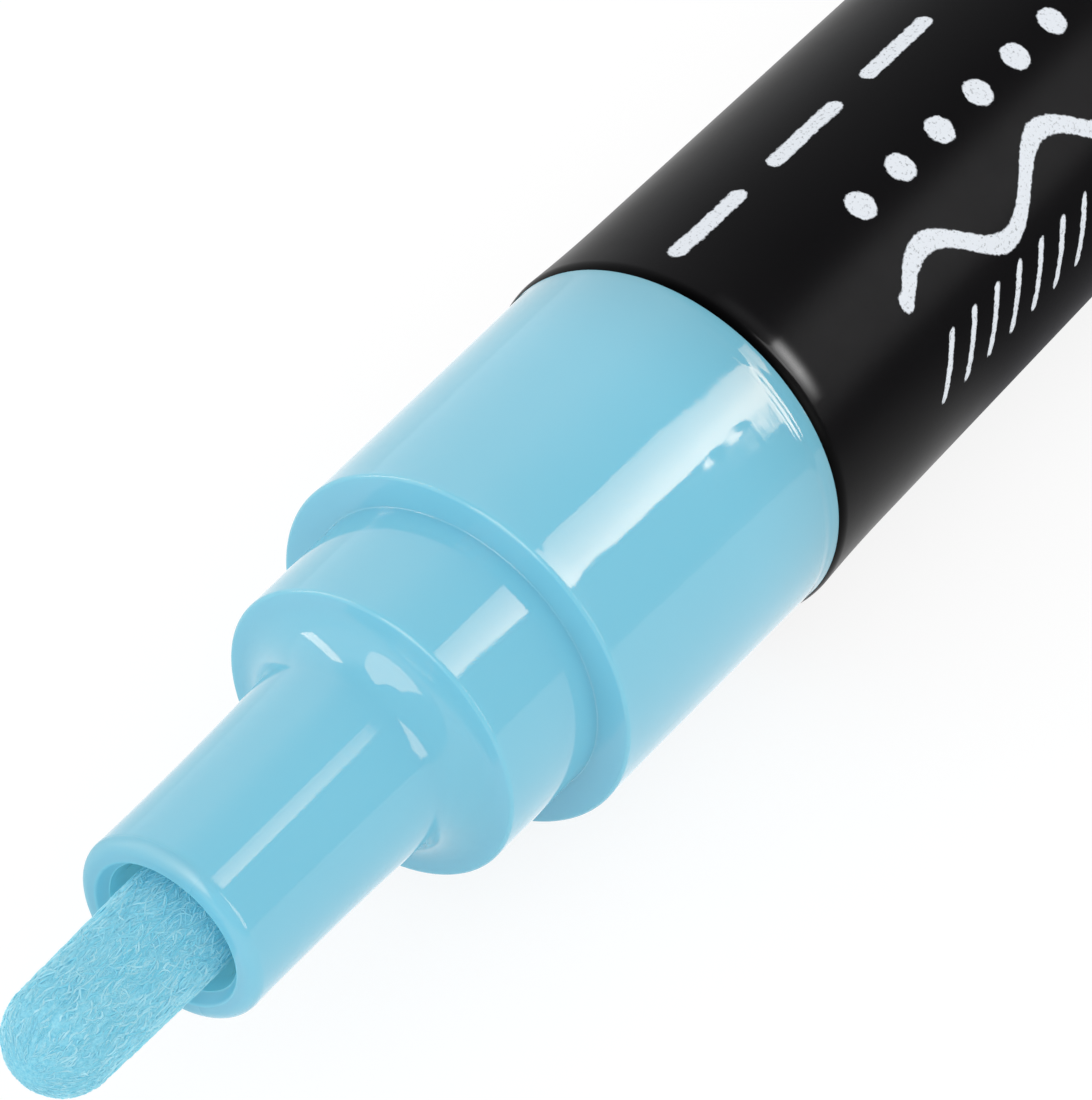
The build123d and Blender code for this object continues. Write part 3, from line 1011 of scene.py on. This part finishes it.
cap_corners = [
    (liner_rear, 0, 0),
    (liner_rear, liner_bore, 0),
    (liner_front, liner_bore, 0),
    (liner_front, cap_bore, 0),
    (cap_mouth, cap_bore, cap_mouth_rounding),
    (cap_mouth, cap_radius, cap_mouth_rounding),
    (cap_end, cap_end_radius, cap_end_rounding),
    (cap_end, 0, 0),
]
liner_corners = [
    (liner_rear - liner_end_wall, 0, 0),
    (liner_rear - liner_end_wall, liner_inner, liner_wall),
    (liner_front + liner_lip_length, liner_inner, 0),
    (liner_front + liner_lip_length, liner_lip_bore, 0),
    (liner_front, liner_lip_bore, liner_lip_rounding),
    (liner_front, liner_radius, 0),
    (liner_rear, liner_radius, 0),
    (liner_rear, 0, 0),
]
cap_moulding = turned("cap_moulding", rounded_outline(cap_corners, closed=False), sky_plastic, closed=False)
liner_cup = turned("liner_cup", rounded_outline(liner_corners, closed=False), waxy_liner(), closed=False)
cap_pieces = (cap_moulding, "cap_shell", "blue_plastic"), (liner_cup, "cap_liner", "liner_plastic")
for piece, node, slot in cap_pieces:
    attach(piece, "cap")
    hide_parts(node)

# Studio
# A white table in a light tent. What the gloss mirrors is darker: a bright left side, a dark right side with
# one strip softbox in it, three glowing cards round the front, and a painted shadow of the barrel on the
# table, on the right.
floor_half = 2.5
table_white = (0.90, 0.90, 0.90, 1)
white = (1, 1, 1, 1)
tent_right = (1.03, 1.03, 1.03, 1)
tent_left = (0.75, 0.75, 0.75, 1)
tent_front = (1.28, 1.28, 1.28, 1)
front_span = (0.0, 1.0)
mirrored_table = (1.1, 1.1, 1.1, 1)
table_painted_shadow = (0.40, 0.40, 0.42, 1)
dark_side = (0.20, 0.20, 0.21, 1)
bright_side = (1.40, 1.42, 1.45, 1)
bright_span = (-0.45, 0.25)
ceiling_span = (0.70, 0.95)
shadow_share = 0.2
table_glow = 1.06
shade_corner = (0.012, -0.079)
shade_run = (0.51, -0.86)
shade_edge = 0.004
strip_middle = (0.2155, -0.2535, 0.3180)
strip_facing = (-0.501, 0.578, -0.644)
strip_along = (0.489, -0.425, -0.762)
strip_strength = 7.6
strip_growth = 7.09
strip_limit = 11.5
# Each corner's place along the strip and across it, from its middle.
strip_outline = [
    (-0.133, -0.032), (-0.063, 0.027), (-0.040, 0.036), (0.019, 0.031), (0.037, 0.033),
    (0.079, 0.031), (0.097, 0.023), (0.107, 0.022), (0.137, 0.035), (0.164, 0.044),
    (0.197, 0.056), (0.307, 0.056), (0.380, 0.022), (0.271, -0.015), (0.147, -0.063),
    (0.055, -0.120), (0.006, -0.094), (-0.027, -0.076), (-0.047, -0.085), (-0.066, -0.090),
    (-0.074, -0.085), (-0.095, -0.070), (-0.122, -0.044),
]
front_middle = (-0.064, 0, 0)
card_distance = 0.5
card_angles = {
    "left": [(116, 0), (123.5, 5.5), (110, 57), (96.5, 48)],
    "front": [
        (151.5, 59), (159.5, 21.5), (167, 13.5), (181, 13),
        (194.5, 15), (206.5, 45.5), (197, 57.5), (195, 78.5),
    ],
    "right": [(-71, 49.5), (-84.5, 30.5), (-84.5, 8), (-66.5, 6.5), (-63, 19.5)],
}
card_strengths = {"left": 8.0, "front": 5.0, "right": 5.0}
key_place = (-0.36, 0.45, 0.42)
key_width = 0.20
key_height = 0.36
key_radiance = 1.2

scene = bpy.context.scene
scene.view_settings.view_transform = "Standard"


def stage_material(name):
    """A new material with an empty tree, and a node to start from."""
    material = bpy.data.materials.new(name)
    material.use_nodes = True
    material.node_tree.nodes.clear()
    return material, Shade(material.node_tree)


def ray_kinds(start):
    """1 for rays from the camera, and 1 for rays that a gloss sends on."""
    path = start.tree.nodes.new("ShaderNodeLightPath")
    return [Shade(start.tree, path.outputs[name]) for name in ("Is Camera Ray", "Is Glossy Ray")]


def flat_sheet(name, corners, material):
    """Sheet of the studio, with one face through its corners."""
    sheet = mesh_object(name, np.array(corners, float), [np.arange(len(corners))[None]], material)
    return sheet


def table_material():
    """White table: plain white for the camera, with a share left for the object's shadow. In a gloss it is
    white in front of a line that runs off from under the barrel, and carries a painted shadow behind it
    on the right.
    """
    material, start = stage_material("white_table")
    place = start.add("ShaderNodeTexCoord", None, None, output="Object")
    x, y, _ = place.parts()
    beyond = (x - shade_corner[0]) * -shade_run[1] + (y - shade_corner[1]) * shade_run[0]
    painted_shadow_mask = (beyond / shade_edge).clamped() * (y / -shade_edge).clamped()
    camera, glossy = ray_kinds(start)
    lit = start.add("ShaderNodeBsdfDiffuse", None, {"Color": table_white})
    seen = start.add("ShaderNodeEmission", None, {"Color": white, "Strength": table_glow})
    # Painted shadow: in a gloss the table is grey behind the line on the right of the barrel.
    mirrored = painted_shadow_mask.blend(mirrored_table, table_painted_shadow)
    mirrored = start.add("ShaderNodeEmission", None, {"Color": mirrored, "Strength": 1.0})
    shown = start.add("ShaderNodeMixShader", None, {0: camera * (1 - shadow_share), 1: lit, 2: seen})
    shown = start.add("ShaderNodeMixShader", None, {0: glossy, 1: shown, 2: mirrored})
    start.add("ShaderNodeOutputMaterial", None, {"Surface": shown})
    return material


def strip_material():
    """Softbox cloth: its glow grows by even shares from the end over the nib to the lower end, to a limit."""
    material, start = stage_material("strip_cloth")
    place = start.add("ShaderNodeTexCoord", None, None, output="Object")
    rise = 0.0
    for part, middle, along in zip(place.parts(), strip_middle, strip_along):
        rise = (part - middle) * (strip_growth * along) + rise
    strength = (strip_strength * start.math("EXPONENT", rise)).smaller(strip_limit)
    glow = start.add("ShaderNodeEmission", None, {"Color": white, "Strength": strength})
    start.add("ShaderNodeOutputMaterial", None, {"Surface": glow})
    return material


def card_material(name, strength):
    """White card with an even glow."""
    material, start = stage_material(name)
    glow = start.add("ShaderNodeEmission", None, {"Color": white, "Strength": strength})
    start.add("ShaderNodeOutputMaterial", None, {"Surface": glow})
    return material


def card_corners(angles):
    """Corners of a card round the marker's front, each at an azimuth from x and an elevation in degrees."""
    azimuth, elevation = np.radians(angles).T
    level = np.cos(elevation)
    direction = np.stack([level * np.cos(azimuth), level * np.sin(azimuth), np.sin(elevation)], -1)
    return np.array(front_middle) + card_distance * direction


def softbox(name, place, target, width, height, radiance):
    """Rectangular lamp that faces a target, whose power gives its face the wanted radiance."""
    lamp = bpy.data.lights.new(name, "AREA")
    lamp.shape = "RECTANGLE"
    lamp.size = width
    lamp.size_y = height
    lamp.energy = radiance * pi * width * height
    holder = bpy.data.objects.new(name, lamp)
    holder.location = place
    holder.rotation_euler = (Vector(target) - Vector(place)).to_track_quat("-Z", "Y").to_euler()
    holder.visible_camera = False
    scene.collection.objects.link(holder)
    return holder


floor_height = cad_low.z
flat_sheet(
    "table",
    [
        (-floor_half, -floor_half, floor_height),
        (floor_half, -floor_half, floor_height),
        (floor_half, floor_half, floor_height),
        (-floor_half, floor_half, floor_height),
    ],
    table_material(),
)
strip_across = np.cross(strip_facing, strip_along)
strip_corners = np.array(strip_middle) + np.array(strip_outline) @ np.array([strip_along, strip_across])
mirrored_sheets = [flat_sheet("strip_softbox", strip_corners, strip_material())]
for name, angles in card_angles.items():
    glowing_card = card_material(name + "_card", card_strengths[name])
    mirrored_sheets.append(flat_sheet(name + "_card", card_corners(angles), glowing_card))
for sheet in mirrored_sheets:
    sheet.visible_camera = False
    sheet.visible_shadow = False
    sheet.visible_diffuse = False
key_light = softbox("key_softbox", key_place, front_middle, key_width, key_height, key_radiance)
key_light.visible_glossy = False

world = bpy.data.worlds.new("studio")
scene.world = world
world.use_nodes = True
world.node_tree.nodes.clear()
sky = Shade(world.node_tree)
direction = sky.add("ShaderNodeTexCoord", None, None, output="Generated")
camera, glossy = ray_kinds(sky)


def eased(value, span):
    """0 up to the span's first value, 1 from its second, and eased between them."""
    limits = {"Value": value, "From Min": span[0], "From Max": span[1]}
    return sky.add("ShaderNodeMapRange", {"interpolation_type": "SMOOTHSTEP"}, limits)


left_share = eased(direction.parts()[1], bright_span)
below_ceiling = 1 - eased(direction.parts()[2], ceiling_span)
mirrored_room = (left_share * below_ceiling).blend(dark_side, bright_side)
front_share = eased(-1 * direction.parts()[0], front_span)
tent = front_share.blend(left_share.blend(tent_right, tent_left), tent_front)
shown = camera.blend(glossy.blend(tent, mirrored_room), white)
background = sky.add("ShaderNodeBackground", None, {"Color": shown, "Strength": 1.0})
sky.add("ShaderNodeOutputWorld", None, {"Surface": background})

# Camera
# Stands in front of the marker, above it and to the right of its axis, and looks down along it with a long
# lens, as in the photograph.
camera_azimuth = radians(-55.05)
camera_elevation = radians(43.1)
camera_offset = Vector((-0.10633, -0.06885, 0.11307))
camera_lens = 144.23
sensor_width = 36.0
nearest_seen = 0.01
farthest_seen = 20.0

lens = bpy.data.cameras.new("camera")
lens.lens = camera_lens
lens.sensor_width = sensor_width
lens.clip_start = nearest_seen
lens.clip_end = farthest_seen
camera_object = bpy.data.objects.new("camera", lens)
back = Vector(
    (
        sin(camera_azimuth) * cos(camera_elevation),
        -cos(camera_azimuth) * cos(camera_elevation),
        sin(camera_elevation),
    )
)
camera_object.location = Vector((barrel_front, 0, 0)) + camera_offset
camera_object.rotation_euler = (-back).to_track_quat("-Z", "Y").to_euler()
scene.collection.objects.link(camera_object)
scene.camera = camera_object
